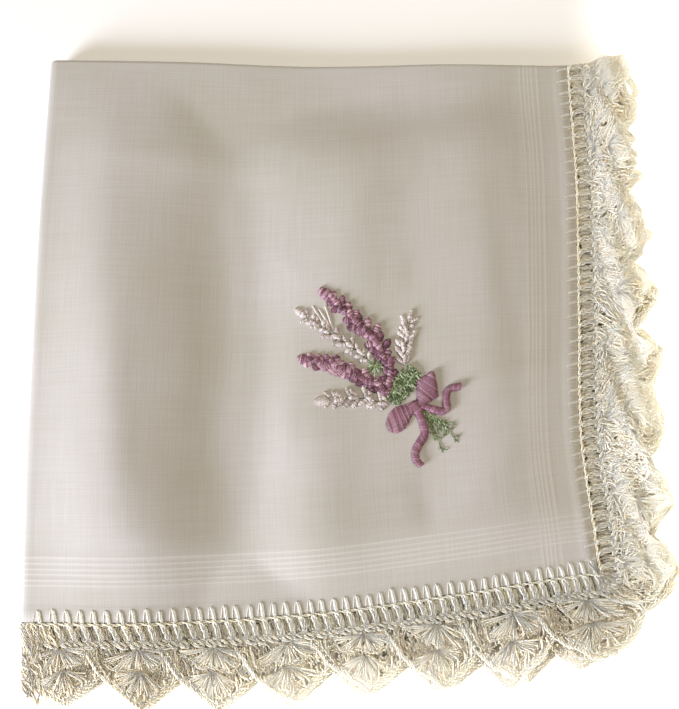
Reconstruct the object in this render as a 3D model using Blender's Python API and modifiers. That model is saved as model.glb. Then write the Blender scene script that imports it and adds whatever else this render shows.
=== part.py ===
# Linen handkerchief with a crochet lace edging, folded twice into a quarter and lying flat.
# Metres, +Z up. The origin is on the surface it rests on, under the middle of its outline.
# The last fold is at -X, the first fold at +Y, and the lace of all four layers is at +X and -Y.
import math

import bmesh
import bpy
import numpy as np

MM = 0.001

# The flat square, before it is folded.
HALF_SIDE = 130 * MM        # middle crease to hem edge
CLOTH_THICKNESS = 1.0 * MM
LACE_THICKNESS = 1.0 * MM
SEAM_GAP = 0.3 * MM         # hem edge to lace
LACE_VALLEY = 12.0 * MM     # hem edge to the valley between two scallops
LACE_TIP = 19.0 * MM        # hem edge to a scallop's tip
TURN_RADIUS = 8.0 * MM      # how far out the scallops are evenly spaced round a corner
HALF_RUN = HALF_SIDE + TURN_RADIUS * math.pi / 4  # crease to a corner's diagonal, that far out

# Scallops counted anticlockwise round the edge, as far as the middle of the +X, +Y, -X and -Y
# sides and back again. They are a little uneven, so those of the four layers don't line up.
SCALLOPS_TO_CREASE = (0.0, 16.0, 32.3, 48.0, 64.0)

# The two folds.
LAYER_PITCH = 1.4 * MM              # middle of one layer to middle of the next
FIRST_FOLD_RADIUS = LAYER_PITCH / 2
LAST_FOLD_RADIUS = LAYER_PITCH
FIRST_CREASE_SKEW = -1.0 * MM       # how far the first crease strays from the middle at +X
LAST_CREASE_SHIFT = 0.4 * MM        # how far the last crease strays from the middle at +Y
LAST_CREASE_SKEW = 0.5 * MM         # and how much more it strays at -Y

# Where the folded quarter's crease corner lies, so that the origin is under the outline's middle.
CORNER_X = -76.0 * MM
CORNER_Y = 77.3 * MM

# How far each edge of the folded quarter strays from a true square, in mm. share runs along the
# edge: down the left and right edges, and to the right along the top and bottom ones.
EDGE_COLUMNS = ("share", "left_x", "right_x", "top_y", "bottom_y")
EDGES = (
    (0.00, 0.1, 1.3, 1.0, -7.2),
    (0.25, -0.5, 2.2, 0.5, -7.2),
    (0.50, -0.4, 1.6, -0.8, -5.5),
    (0.75, -0.3, 1.0, -0.2, -1.4),
    (1.00, 0.3, 4.1, -0.6, 3.2),
)

# Soft ridges (rise above 0) and troughs (below 0) of the upper layers, in mm from the crease
# corner: right is towards +X and down towards -Y. turn is in degrees from lying along Y.
WAVE_COLUMNS = ("right", "down", "half_length", "half_width", "turn", "rise")
WAVES = (
    (20, 86, 48, 16, -2, 3.2),    # puff beside the last fold
    (28, 110, 14, 9, 0, 0.5),     # and its foot
    (48, 72, 66, 12, -2, -2.6),   # the long trough
    (39, 64, 18, 6, 0, 0.3),      # where its near bank is broader
    (76, 40, 22, 10, 6, 1.3),     # ridge on its right, in two lengths
    (66, 104, 20, 10, 0, 1.2),
    (93, 103, 10, 6, 0, -0.5),    # dip under the bow's place
    (104, 44, 40, 16, 0, 1.4),    # swell right of the embroidered place
    (80, 115, 44, 7, 90, 0.9),    # low swell along the lower stripes
    (78, 11, 42, 7, 90, -0.8),    # shallow dip under the first fold
)
LAYERS_LIFT = 2.2 * MM      # air between the layers in the middle of the quarter
LIFT_FROM_LAST_FOLD = 18 * MM   # over which that air builds up from each edge of the quarter
LIFT_FROM_FIRST_FOLD = 28 * MM
LIFT_FROM_HEM = 26 * MM
BULGE_REACH = 2.8 * MM      # how far the stiff lace bulges past the first fold
BULGE_RIGHT = 145 * MM      # where that bulge is, from the last fold
BULGE_HALF_WIDTH = 9 * MM
RUFFLE_RISE = 0.8 * MM      # how much the lace waves up and down
RUFFLE_LENGTH = 34.0 * MM

# Fineness of the two sheets.
CLOTH_STEPS = 12            # squares from a fold to the hem
FOLD_STEPS = 8              # steps round a fold
LACE_STEPS = 6              # steps along one scallop
LACE_ROWS = 2               # strips across the lace


def column(rows, names, name):
    return np.array([row[names.index(name)] for row in rows], dtype=float)


def smooth_step(x):
    x = np.clip(x, 0.0, 1.0)
    return x * x * (3 - 2 * x)


def along_edge(name, share):
    """A column of EDGES in metres at any share, as a smooth curve through its rows."""
    values = column(EDGES, EDGE_COLUMNS, name) * MM
    last = len(values) - 1
    place = np.clip(share, 0.0, 1.0) * last
    low = np.minimum(place.astype(int), last - 1)
    t = place - low
    before = values[np.maximum(low - 1, 0)]
    after = values[np.minimum(low + 2, last)]
    start, end = values[low], values[low + 1]
    start_slope = (end - before) / 2
    end_slope = (after - start) / 2
    return (
        start * (2 * t**3 - 3 * t**2 + 1)
        + start_slope * (t**3 - 2 * t**2 + t)
        + end * (3 * t**2 - 2 * t**3)
        + end_slope * (t**3 - t**2)
    )


def bend(run, radius, offset):
    """Folds a run in half round a radius: how far from the fold, and how high, it ends up.

    offset is how far outside the radius the run lies."""
    quarter = math.pi / 2 * radius
    angle = np.clip(run / radius, -math.pi / 2, math.pi / 2)
    straight = np.maximum(np.abs(run) - quarter, 0.0)
    away = radius - (radius + offset) * np.cos(angle) + straight
    return away, (radius + offset) * np.sin(angle)


def lift(right, down):
    """How far the top layer is raised off the flat stack at a place in the quarter."""
    right_mm, down_mm = right / MM, down / MM
    inside = smooth_step(right / LIFT_FROM_LAST_FOLD) * smooth_step(down / LIFT_FROM_FIRST_FOLD)
    inside = inside * smooth_step((HALF_SIDE - right) / LIFT_FROM_HEM)
    inside = inside * smooth_step((HALF_SIDE - down) / LIFT_FROM_HEM)
    total = LAYERS_LIFT * inside
    waves = zip(*(column(WAVES, WAVE_COLUMNS, name) for name in WAVE_COLUMNS))
    for wave_right, wave_down, half_length, half_width, turn, rise in waves:
        turn = math.radians(turn)
        across = (right_mm - wave_right) * math.cos(turn) + (down_mm - wave_down) * math.sin(turn)
        along = (down_mm - wave_down) * math.cos(turn) - (right_mm - wave_right) * math.sin(turn)
        swell = np.exp(-((across / half_width) ** 2) - (along / half_length) ** 4)
        total = total + rise * MM * swell
    past_hem = smooth_step((np.maximum(right, down) - HALF_SIDE) / LACE_TIP)
    wave = np.sin(2 * math.pi * (right - down) / RUFFLE_LENGTH)
    return np.maximum(total, 0.0) + RUFFLE_RISE * past_hem * (0.5 + 0.5 * wave)


def fold_bulge(right, down):
    """How far the lace stands out past the first fold, where it won't crease sharply."""
    across = (right - BULGE_RIGHT) / BULGE_HALF_WIDTH
    return BULGE_REACH * np.exp(-(across**2)) * (1 - smooth_step(down / BULGE_HALF_WIDTH))


def first_crease(u):
    """v of the first crease."""
    return FIRST_CREASE_SKEW * u / HALF_SIDE


def last_crease(down):
    """u of the last crease."""
    return LAST_CREASE_SHIFT + LAST_CREASE_SKEW * down / HALF_SIDE


def folded(u, v):
    """Where a point of the flat square lies once it is folded twice."""
    down, height = bend(first_crease(u) - v, FIRST_FOLD_RADIUS, 0.0)
    right, height = bend(u - last_crease(down), LAST_FOLD_RADIUS, height)
    half_stack = FIRST_FOLD_RADIUS + LAST_FOLD_RADIUS
    layer = (height + half_stack) / (2 * half_stack)  # 0 in the bottom layer, 1 in the top one

    right_share, down_share = right / HALF_SIDE, down / HALF_SIDE
    left_x, right_x = along_edge("left_x", down_share), along_edge("right_x", down_share)
    top_y, bottom_y = along_edge("top_y", right_share), along_edge("bottom_y", right_share)
    x = CORNER_X + right + left_x + (right_x - left_x) * right_share
    y = CORNER_Y - down + top_y + (bottom_y - top_y) * down_share + fold_bulge(right, down)
    z = height + half_stack + CLOTH_THICKNESS / 2 + layer * lift(right, down)
    return x, y, z


def fold_mesh(bm, flat):
    """Moves each vertex from its place in the flat square to its place in the folded one.

    The lines that crowd at the middle of the square first follow the two creases."""
    u, v = (np.array(values) for values in zip(*(flat(vert) for vert in bm.verts)))
    crease_v, crease_u = first_crease(u), last_crease(np.abs(v))
    u = u + crease_u * np.maximum(1 - np.abs(u) / HALF_SIDE, 0.0)
    v = v + crease_v * np.maximum(1 - np.abs(v) / HALF_SIDE, 0.0)
    for vert, place in zip(bm.verts, zip(*folded(u, v))):
        vert.co = place


def steps_from_crease(radius, reach, steps):
    """Lines on one side of a crease: close together round its fold, then even to the edge."""
    fold_end = math.pi / 2 * radius
    in_fold = np.linspace(0, fold_end, FOLD_STEPS // 2 + 1)
    return np.concatenate([in_fold, np.linspace(fold_end, reach, steps + 1)[1:]])


def both_sides(lines):
    return np.concatenate([-lines[:0:-1], lines])


def shell_material(name, color, roughness):
    material = bpy.data.materials.new(name)
    material.use_nodes = True
    shader = material.node_tree.nodes["Principled BSDF"]
    shader.inputs["Base Color"].default_value = (*color, 1.0)
    shader.inputs["Roughness"].default_value = roughness
    shader.inputs["Metallic"].default_value = 0.0
    return material


def add_sheet(name, bm, thickness, material, collection):
    """A folded sheet as an open surface that Solidify gives its thickness."""
    mesh = bpy.data.meshes.new(name)
    bm.to_mesh(mesh)
    bm.free()
    mesh.materials.append(material)
    mesh.shade_smooth()
    sheet = bpy.data.objects.new(name, mesh)
    collection.objects.link(sheet)
    solidify = sheet.modifiers.new("thickness", "SOLIDIFY")
    solidify.thickness = thickness
    solidify.offset = 0.0
    return sheet


def linen_cloth(collection):
    """The hemmed linen square: a grid whose lines crowd at the two folds."""
    across = both_sides(steps_from_crease(LAST_FOLD_RADIUS, HALF_SIDE, CLOTH_STEPS))
    along = both_sides(steps_from_crease(FIRST_FOLD_RADIUS, HALF_SIDE, CLOTH_STEPS))
    bm = bmesh.new()
    bmesh.ops.create_grid(bm, x_segments=len(across) - 1, y_segments=len(along) - 1, size=1.0)

    def flat(vert):
        i = round((vert.co.x + 1) / 2 * (len(across) - 1))
        j = round((vert.co.y + 1) / 2 * (len(along) - 1))
        return across[i], along[j]

    fold_mesh(bm, flat)
    material = shell_material("linen", (0.70, 0.68, 0.63), 0.9)
    return add_sheet("linen_cloth", bm, CLOTH_THICKNESS, material, collection)


def scallop_reach(scallops):
    """Hem edge to the lace's outline, at a count of scallops round the edge."""
    share = scallops % 1.0
    bump = 1 - np.abs(2 * share - 1)
    return LACE_VALLEY + (LACE_TIP - LACE_VALLEY) * bump**0.8


def lace_columns():
    """Places of the lace's columns: run round the edge, and scallops counted as far as there."""
    fold_end = math.pi / 2 * LAST_FOLD_RADIUS
    in_fold = both_sides(np.linspace(0, fold_end, FOLD_STEPS // 2 + 1))
    creases = 2 * HALF_RUN * np.arange(len(SCALLOPS_TO_CREASE))
    counted = np.arange(SCALLOPS_TO_CREASE[-1] * LACE_STEPS) / LACE_STEPS
    runs = np.interp(counted, SCALLOPS_TO_CREASE, creases)
    nearest = np.abs(runs[:, None] - creases[None, :]).min(axis=1)
    runs = runs[nearest > fold_end * 1.3]
    in_folds = (creases[:-1, None] + in_fold[None, :]).ravel()
    runs = np.sort(np.concatenate([runs, in_folds]))
    return runs, np.interp(runs, creases, SCALLOPS_TO_CREASE, left=0.0)


def lace_place(run, out):
    """Place in the flat square of a point of the lace, out from the hem edge."""
    side = round(run / (2 * HALF_RUN))
    run = run - side * 2 * HALF_RUN
    past_corner = max(abs(run) - HALF_SIDE, 0.0)
    angle = math.copysign(past_corner / TURN_RADIUS, run)
    along = math.copysign(min(abs(run), HALF_SIDE), run) + out * math.sin(angle)
    outward = HALF_SIDE + out * math.cos(angle)
    cos_side, sin_side = ((1, 0), (0, 1), (-1, 0), (0, -1))[side % 4]  # +X, +Y, -X, -Y
    return outward * cos_side - along * sin_side, outward * sin_side + along * cos_side


def lace_edging(collection):
    """The scalloped lace: one closed band round the square, folded with it."""
    runs, counted = lace_columns()
    reaches = scallop_reach(counted)
    bm = bmesh.new()
    bmesh.ops.create_circle(bm, segments=len(runs), radius=1.0)
    edges = list(bm.edges)
    rows = [list(bm.verts)]
    for _ in range(LACE_ROWS):
        grown = bmesh.ops.extrude_edge_only(bm, edges=edges)["geom"]
        edges = [part for part in grown if isinstance(part, bmesh.types.BMEdge)]
        rows.append([part for part in grown if isinstance(part, bmesh.types.BMVert)])

    places = {}
    for row, verts in enumerate(rows):
        for vert in verts:
            turn = math.atan2(-vert.co.x, vert.co.y) / (2 * math.pi)  # the circle starts at +Y
            index = round(turn * len(runs)) % len(runs)
            out = SEAM_GAP + (reaches[index] - SEAM_GAP) * row / LACE_ROWS
            places[vert] = lace_place(runs[index], out)
    fold_mesh(bm, places.get)
    bmesh.ops.recalc_face_normals(bm, faces=bm.faces)
    material = shell_material("crochet_cotton", (0.78, 0.74, 0.62), 0.95)
    return add_sheet("lace_edging", bm, LACE_THICKNESS, material, collection)


def main():
    for old in list(bpy.data.objects):
        bpy.data.objects.remove(old, do_unlink=True)
    collection = bpy.data.collections.new("linen_handkerchief")
    bpy.context.scene.collection.children.link(collection)
    linen_cloth(collection)
    lace_edging(collection)


main()
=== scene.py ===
import math

import bpy
import numpy as np
from mathutils import Euler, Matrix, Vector


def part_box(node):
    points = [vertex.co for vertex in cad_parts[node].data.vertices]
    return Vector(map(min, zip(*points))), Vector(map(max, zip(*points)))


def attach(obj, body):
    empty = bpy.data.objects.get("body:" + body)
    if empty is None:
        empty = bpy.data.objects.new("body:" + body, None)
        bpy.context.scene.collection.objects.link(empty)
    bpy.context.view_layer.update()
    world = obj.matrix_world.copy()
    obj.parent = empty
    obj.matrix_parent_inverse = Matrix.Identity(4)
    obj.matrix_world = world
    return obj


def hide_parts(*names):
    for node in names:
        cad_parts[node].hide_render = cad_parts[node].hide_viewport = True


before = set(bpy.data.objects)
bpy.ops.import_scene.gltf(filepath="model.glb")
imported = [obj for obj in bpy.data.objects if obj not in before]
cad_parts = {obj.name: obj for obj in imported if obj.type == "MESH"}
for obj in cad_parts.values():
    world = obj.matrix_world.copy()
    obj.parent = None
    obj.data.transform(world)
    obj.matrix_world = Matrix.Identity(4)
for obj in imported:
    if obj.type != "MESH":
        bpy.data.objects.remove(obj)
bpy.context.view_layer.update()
print("frame loaded:", sorted(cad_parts))

mm = 0.001
tau = 2 * math.pi

# the folded square, in millimetres, laid out as its solids are
square = dict(
    halfSide=130.0,          # middle crease to hem edge
    firstRadius=0.7,         # fold at the far edge
    lastRadius=1.4,          # fold at the left edge, round the first one
    firstSkew=-1.0,          # how far each crease strays from the middle
    lastShift=0.4,
    lastSkew=0.5,
    sheetHalf=0.5,           # half of a solid layer
    layersLift=2.2,          # air between the layers in the middle
    liftReach=(18.0, 28.0, 26.0),   # built up over this far from the last fold, the first one and the hems
    bulgeReach=2.8,          # lace that won't crease sharply at the first fold
    bulgeRight=145.0,
    bulgeHalfWidth=9.0,
    ruffleRise=0.8,
    ruffleLength=34.0,
    laceDepth=19.0,
    laceTuck=(0.9, 5.0),     # the lace turns a little inside the cloth's fold, this far past the hem
    lastCrisp=0.7,           # how flat the last fold is pressed: 1 is round
)

halfSide = square["halfSide"]

# how far the quarter's edges stray from a true square, along each edge in equal steps
edgeStray = dict(
    left=(0.1, -0.5, -0.4, -0.3, 0.3),
    right=(1.3, 2.2, 1.6, 1.0, 4.1),
    top=(1.0, 0.5, -0.8, -0.2, -0.6),
    bottom=(-7.2, -7.2, -5.5, -1.4, 3.2),
)

# soft ridges and troughs of the upper layers
waveColumns = ("right", "down", "halfLength", "halfWidth", "turn", "rise")
waves = (
    (20, 86, 48, 16, -2, 3.2),    # puff beside the last fold
    (28, 110, 14, 9, 0, 0.5),     # and its foot
    (48, 72, 66, 12, -2, -2.6),   # the long trough
    (39, 64, 18, 6, 0, 0.3),      # where its near bank is broader
    (76, 40, 22, 10, 6, 1.3),     # ridge on its right, in two lengths
    (66, 104, 20, 10, 0, 1.2),
    (93, 103, 10, 6, 0, -0.5),    # dip under the bow
    (104, 44, 40, 16, 0, 1.4),    # swell right of the embroidery
    (80, 115, 44, 7, 90, 0.9),    # low swell along the lower stripes
    (78, 11, 42, 7, 90, -0.8),    # shallow dip under the first fold
)


def smoothStep(x):
    x = np.clip(x, 0.0, 1.0)
    return x * x * (3 - 2 * x)


def strayAt(edge, share):
    # smooth curve through the steps of one edge
    values = np.array(edgeStray[edge])
    last = len(values) - 1
    place = np.clip(share, 0.0, 1.0) * last
    low = np.minimum(place.astype(int), last - 1)
    t = place - low
    before, start, end = values[np.maximum(low - 1, 0)], values[low], values[low + 1]
    after = values[np.minimum(low + 2, last)]
    startSlope, endSlope = (end - before) / 2, (after - start) / 2
    return (start * (2 * t**3 - 3 * t**2 + 1) + startSlope * (t**3 - 2 * t**2 + t)
            + end * (3 * t**2 - 2 * t**3) + endSlope * (t**3 - t**2))


def bend(run, radius, offset, crisp=1.0):
    # folds a run in half round a radius; offset is how far outside the radius it lies,
    # and a crisp below 1 presses the fold flatter on top
    quarter = math.pi / 2 * radius
    angle = np.clip(run / radius, -math.pi / 2, math.pi / 2)
    away = radius - (radius + offset) * np.cos(angle)**crisp + np.maximum(np.abs(run) - quarter, 0)
    rise = np.sign(angle) * np.abs(np.sin(angle))**crisp
    return away, (radius + offset) * rise


def liftAt(right, down):
    fromLast, fromFirst, fromHem = square["liftReach"]
    inside = smoothStep(right / fromLast) * smoothStep(down / fromFirst)
    inside = inside * smoothStep((halfSide - right) / fromHem) * smoothStep((halfSide - down) / fromHem)
    total = square["layersLift"] * inside
    for row in waves:
        wave = dict(zip(waveColumns, row))
        turn = math.radians(wave["turn"])
        dx, dy = right - wave["right"], down - wave["down"]
        across = dx * math.cos(turn) + dy * math.sin(turn)
        along = dy * math.cos(turn) - dx * math.sin(turn)
        swell = np.exp(-(across / wave["halfWidth"]) ** 2 - (along / wave["halfLength"]) ** 4)
        total = total + wave["rise"] * swell
    pastHem = smoothStep((np.maximum(right, down) - halfSide) / square["laceDepth"])
    ripple = 0.5 + 0.5 * np.sin(tau * (right - down) / square["ruffleLength"])
    return np.maximum(total, 0) + square["ruffleRise"] * pastHem * ripple


def firstCrease(u):
    return square["firstSkew"] * u / halfSide


def lastCrease(down):
    return square["lastShift"] + square["lastSkew"] * down / halfSide


def foldedMm(u, v, n):
    # flat place and height off the sheet's right side, to where it lies, crease corner at 0, 0
    first, last = square["firstRadius"], square["lastRadius"]
    down, height = bend(firstCrease(u) - v, first, n)
    right, height = bend(u - lastCrease(down), last, height, square["lastCrisp"])
    layer = (height + first + last) / (2 * (first + last))
    rightShare, downShare = right / halfSide, down / halfSide
    leftX, rightX = strayAt("left", downShare), strayAt("right", downShare)
    tuck, tuckReach = square["laceTuck"]
    leftX = leftX + tuck * smoothStep((down - halfSide) / tuckReach)
    topY, bottomY = strayAt("top", rightShare), strayAt("bottom", rightShare)
    x = right + leftX + (rightX - leftX) * rightShare
    y = -down + topY + (bottomY - topY) * downShare
    across = (right - square["bulgeRight"]) / square["bulgeHalfWidth"]
    y = y + (square["bulgeReach"] * np.exp(-across**2)
             * (1 - smoothStep(down / square["bulgeHalfWidth"])))
    z = height + first + last + square["sheetHalf"] + layer * liftAt(right, down)
    return np.stack([x, y, z], axis=-1)


# the crease corner is set where it brings the sheet's left and far edges to the solid's
clothLow, clothHigh = (np.array(corner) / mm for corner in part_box("linen_cloth"))
edgeRun = np.linspace(-halfSide, halfSide, 261)
outside = np.full(len(edgeRun), square["sheetHalf"])
leftLine = foldedMm(np.full(len(edgeRun), square["lastShift"]), edgeRun, outside)
farLine = foldedMm(edgeRun, firstCrease(edgeRun), outside)
cornerPlace = np.array([clothLow[0] - leftLine[:, 0].min(), clothHigh[1] - farLine[:, 1].max(), 0])
print("crease corner at", cornerPlace.round(2).tolist(), "mm")


def folded(u, v, n):
    u, v, n = np.broadcast_arrays(np.asarray(u, float), np.asarray(v, float), np.asarray(n, float))
    return (foldedMm(u, v, n) + cornerPlace) * mm


def toLinear(hexColor):
    parts = [int(hexColor[i:i + 2], 16) / 255 for i in (1, 3, 5)]
    linear = [c / 12.92 if c <= 0.04045 else ((c + 0.055) / 1.055) ** 2.4 for c in parts]
    return (*linear, 1.0)


def addNode(tree, kind, settings=None, **inputs):
    # one node: settings are its own properties or a ramp's stops; inputs, by name or as i and a
    # number, are values, sockets, or nodes whose first output is linked
    node = tree.nodes.new(kind)
    for name, value in (settings or {}).items():
        if name != "stops":
            setattr(node, name, value)
            continue
        for _ in value[2:]:
            node.color_ramp.elements.new(0.5)
        for element, (position, color) in zip(node.color_ramp.elements, value):
            element.position, element.color = position, toLinear(color)
    for name, value in inputs.items():
        socket = node.inputs[int(name[1:]) if name[1:].isdigit() else name.replace("_", " ")]
        if isinstance(value, bpy.types.Node):
            value = value.outputs[0]
        if isinstance(value, bpy.types.NodeSocket):
            tree.links.new(value, socket)
        else:
            socket.default_value = value
    return node


def newMaterial(name):
    material = bpy.data.materials.new(name)
    material.use_nodes = True
    material.node_tree.nodes.clear()
    return material, material.node_tree


def linenMaterial():
    # linen lawn, plain woven, bleached and washed soft: a matt off-white with a faint sheen, whose
    # uneven threads run in both directions
    sizes = dict(side=260.0, thread=0.42, slubLength=16.0, slubWidth=0.5)  # mm; the real thread
    # spacing is about 0.25 mm, drawn a little coarser so that it shows
    material, tree = newMaterial("linenLawn")
    uv = addNode(tree, "ShaderNodeUVMap", {"uv_map": "flatCloth"})
    place = addNode(tree, "ShaderNodeMapping", Vector=uv, Scale=(sizes["side"],) * 3)
    waves, slubs = [], []
    for turn in (0.0, math.pi / 2):
        lined = addNode(tree, "ShaderNodeMapping", Vector=place, Rotation=(0, 0, turn))
        waves.append(addNode(tree, "ShaderNodeTexWave", {"wave_type": "BANDS", "bands_direction": "X"},
                             Vector=lined, Scale=tau / sizes["thread"] / 20, Distortion=1.6,
                             Detail=1.0).outputs[1])
        long = addNode(tree, "ShaderNodeMapping", Vector=lined,
                       Scale=(1 / sizes["slubWidth"], 1 / sizes["slubLength"], 1))
        slubs.append(addNode(tree, "ShaderNodeTexNoise", Vector=long, Scale=1.0, Detail=2.0))
    times, plus = {"operation": "MULTIPLY"}, {"operation": "ADD"}
    weave = addNode(tree, "ShaderNodeMath", times, i0=waves[0], i1=waves[1])
    slub = addNode(tree, "ShaderNodeMath", plus, i0=slubs[0], i1=slubs[1])
    halfWeave = addNode(tree, "ShaderNodeMath", times, i0=weave, i1=0.5)
    halfSlub = addNode(tree, "ShaderNodeMath", times, i0=slub, i1=0.5)
    height = addNode(tree, "ShaderNodeMath", plus, i0=halfWeave, i1=slub)
    cloud = addNode(tree, "ShaderNodeTexNoise", Vector=place, Scale=0.022, Detail=3.0)
    tone = addNode(tree, "ShaderNodeValToRGB",
                   {"stops": ((0.34, "#B0ACA2"), (0.50, "#B5B1AA"), (0.66, "#B9B5B1"))}, i0=cloud)
    fleck = addNode(tree, "ShaderNodeValToRGB", {"stops": ((0.36, "#ECE8E0"), (0.62, "#FFFFFF"))},
                    i0=halfSlub)
    color = addNode(tree, "ShaderNodeMix", {"data_type": "RGBA", "blend_type": "MULTIPLY"},
                    i0=0.4, i6=tone, i7=fleck).outputs[2]
    # the woven stripes' thicker threads are paler
    cord = addNode(tree, "ShaderNodeAttribute", {"attribute_name": "cord"}).outputs["Fac"]
    share = addNode(tree, "ShaderNodeMath", times, i0=cord, i1=0.34)
    color = addNode(tree, "ShaderNodeMix", {"data_type": "RGBA"}, i0=share, i6=color,
                    i7=toLinear("#D8D5CE")).outputs[2]
    bump = addNode(tree, "ShaderNodeBump", Height=height, Strength=0.25, Distance=0.00012)
    shader = addNode(tree, "ShaderNodeBsdfPrincipled", Base_Color=color, Normal=bump, Roughness=0.86,
                     Sheen_Weight=0.12, Sheen_Roughness=0.6)
    addNode(tree, "ShaderNodeOutputMaterial", Surface=shader)
    return material


def yarnMaterial(name, dark, middle, light, roughness, sheen, glow=0.0, gloss=0.5):
    # plied thread: each length a shade of its own, with the ply as fine slanting ridges; glow is
    # the light that soft cotton lets through
    material, tree = newMaterial(name)
    shade, along, ringShare = (
        addNode(tree, "ShaderNodeAttribute", {"attribute_name": attribute}).outputs["Fac"]
        for attribute in ("shade", "along", "round"))
    color = addNode(tree, "ShaderNodeValToRGB", {"stops": ((0.0, dark), (0.5, middle), (1.0, light))},
                    i0=shade)
    turns = addNode(tree, "ShaderNodeMath", {"operation": "ADD"}, i0=along, i1=ringShare)
    angle = addNode(tree, "ShaderNodeMath", {"operation": "MULTIPLY"}, i0=turns, i1=tau)
    ply = addNode(tree, "ShaderNodeMath", {"operation": "SINE"}, i0=angle)
    bump = addNode(tree, "ShaderNodeBump", Height=ply, Strength=0.5, Distance=0.00004)
    shader = addNode(tree, "ShaderNodeBsdfPrincipled", Base_Color=color, Normal=bump,
                     Roughness=roughness, Sheen_Weight=sheen, Sheen_Roughness=0.5,
                     Sheen_Tint=toLinear(light), Specular_IOR_Level=gloss, Subsurface_Weight=glow,
                     Subsurface_Radius=(1.0, 0.9, 0.75), Subsurface_Scale=0.0012)
    addNode(tree, "ShaderNodeOutputMaterial", Surface=shader)
    return material


def floorMaterial():
    # matt white paper sweep, faintly mottled
    material, tree = newMaterial("paleSweep")
    coords = addNode(tree, "ShaderNodeTexCoord").outputs["Object"]
    noise = addNode(tree, "ShaderNodeTexNoise", Vector=coords, Scale=6.0)
    color = addNode(tree, "ShaderNodeValToRGB", {"stops": ((0.3, "#F4F3F1"), (0.7, "#F8F7F6"))}, i0=noise)
    shader = addNode(tree, "ShaderNodeBsdfPrincipled", Base_Color=color, Roughness=0.95)
    addNode(tree, "ShaderNodeOutputMaterial", Surface=shader)
    return material


linen = linenMaterial()
# plied crochet cotton, aged to cream and teased soft: matt, warm and a little translucent
crochetCotton = yarnMaterial("crochetCotton", "#E8CDA2", "#FDECC8", "#FFFAE2", 0.85, 0.18, 0.85, 0.2)
# stranded rayon for machine embroidery, wound flat: it glints along each stitch
mauveSilk = yarnMaterial("mauveRayon", "#4A2836", "#8B5C6E", "#D8BBC3", 0.36, 0.2)
paleSilk = yarnMaterial("paleRayon", "#918480", "#BFB3AE", "#E7E0DB", 0.42, 0.25)
greenSilk = yarnMaterial("greenRayon", "#3B4C26", "#6F8053", "#B8C4A3", 0.42, 0.25)


# the linen square
cloth = dict(
    thickness=0.32,
    step=2.0,                 # mm between the grid's lines where nothing else sets them
    sideCords=(7.7, 9.0, 10.0, 10.9, 12.0),        # woven stripes, from the hem edge
    endCords=(7.7, 8.75, 10.0, 11.1, 12.3, 13.6),
    cordHalfWidth=0.30,
    cordRise=0.05,
    hemWidth=3.2,
    hemRise=0.14,
    hemStep=0.4,              # width over which it rises
)

# slight creases of the top layer, in mm right and down from the crease corner
creaseColumns = ("right", "down", "toRight", "toDown", "halfWidth", "rise")
creases = (
    (14, 22, 60, 30, 3.0, 0.12),
    (60, 20, 100, 16, 2.5, -0.12),
    (24, 112, 66, 118, 3.0, 0.16),
    (96, 116, 122, 92, 3.5, 0.18),
    (110, 30, 116, 84, 3.0, -0.18),
    (64, 60, 60, 100, 3.5, 0.20),
    (40, 40, 44, 104, 3.0, -0.16),
    (20, 60, 24, 110, 4.0, 0.22),
    (104, 84, 122, 78, 1.6, 0.22),   # pull from the embroidery
    (92, 102, 94, 116, 1.5, -0.18),
    (66, 56, 58, 48, 1.5, 0.16),
    (86, 60, 88, 50, 1.4, 0.15),
)


def clothLines(radius, cords):
    # lines from one hem to the other: close at the fold, the cords and the hem
    fold = math.pi / 2 * radius + 1.2
    inFold = np.linspace(0, fold, 9)
    even = np.linspace(fold, halfSide, round((halfSide - fold) / cloth["step"]))
    cordOffsets = np.array([-1, 0, 1]) * cloth["cordHalfWidth"]
    cordLines = (halfSide - np.array(cords)[:, None] + cordOffsets).ravel()
    hemLines = halfSide - cloth["hemWidth"] + np.array([-0.5, 0.5]) * cloth["hemStep"]
    cordZone = (even > cordLines.min() - 0.6) & (even < cordLines.max() + 0.6)
    hemZone = np.abs(even[:, None] - hemLines).min(axis=1) < 0.5
    half = np.sort(np.concatenate([inFold, even[1:][~(cordZone | hemZone)[1:]], cordLines, hemLines]))
    return np.concatenate([-half[:0:-1], half])


def cordAt(fromHem, cords):
    nearest = np.abs(fromHem[..., None] - np.array(cords)).min(axis=-1)
    return np.cos(np.clip(nearest / cloth["cordHalfWidth"], 0, 1) * math.pi / 2) ** 2


def creaseAt(right, down):
    total = np.zeros_like(right)
    for row in creases:
        crease = dict(zip(creaseColumns, row))
        ax, ay = crease["right"], crease["down"]
        dx, dy = crease["toRight"] - ax, crease["toDown"] - ay
        length = math.hypot(dx, dy)
        along = ((right - ax) * dx + (down - ay) * dy) / length
        across = ((right - ax) * dy - (down - ay) * dx) / length
        share = np.clip(along / length, 0, 1)
        past = np.maximum(np.abs(along / length - 0.5) - 0.5, 0) * length
        fade = np.sin(share * math.pi * 0.8 + 0.1 * math.pi)
        total += crease["rise"] * fade * np.exp(-(across**2 + past**2) / crease["halfWidth"] ** 2)
    return total


def newObject(name, data):
    piece = bpy.data.objects.new(name, data)
    bpy.context.scene.collection.objects.link(piece)
    return piece


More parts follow.
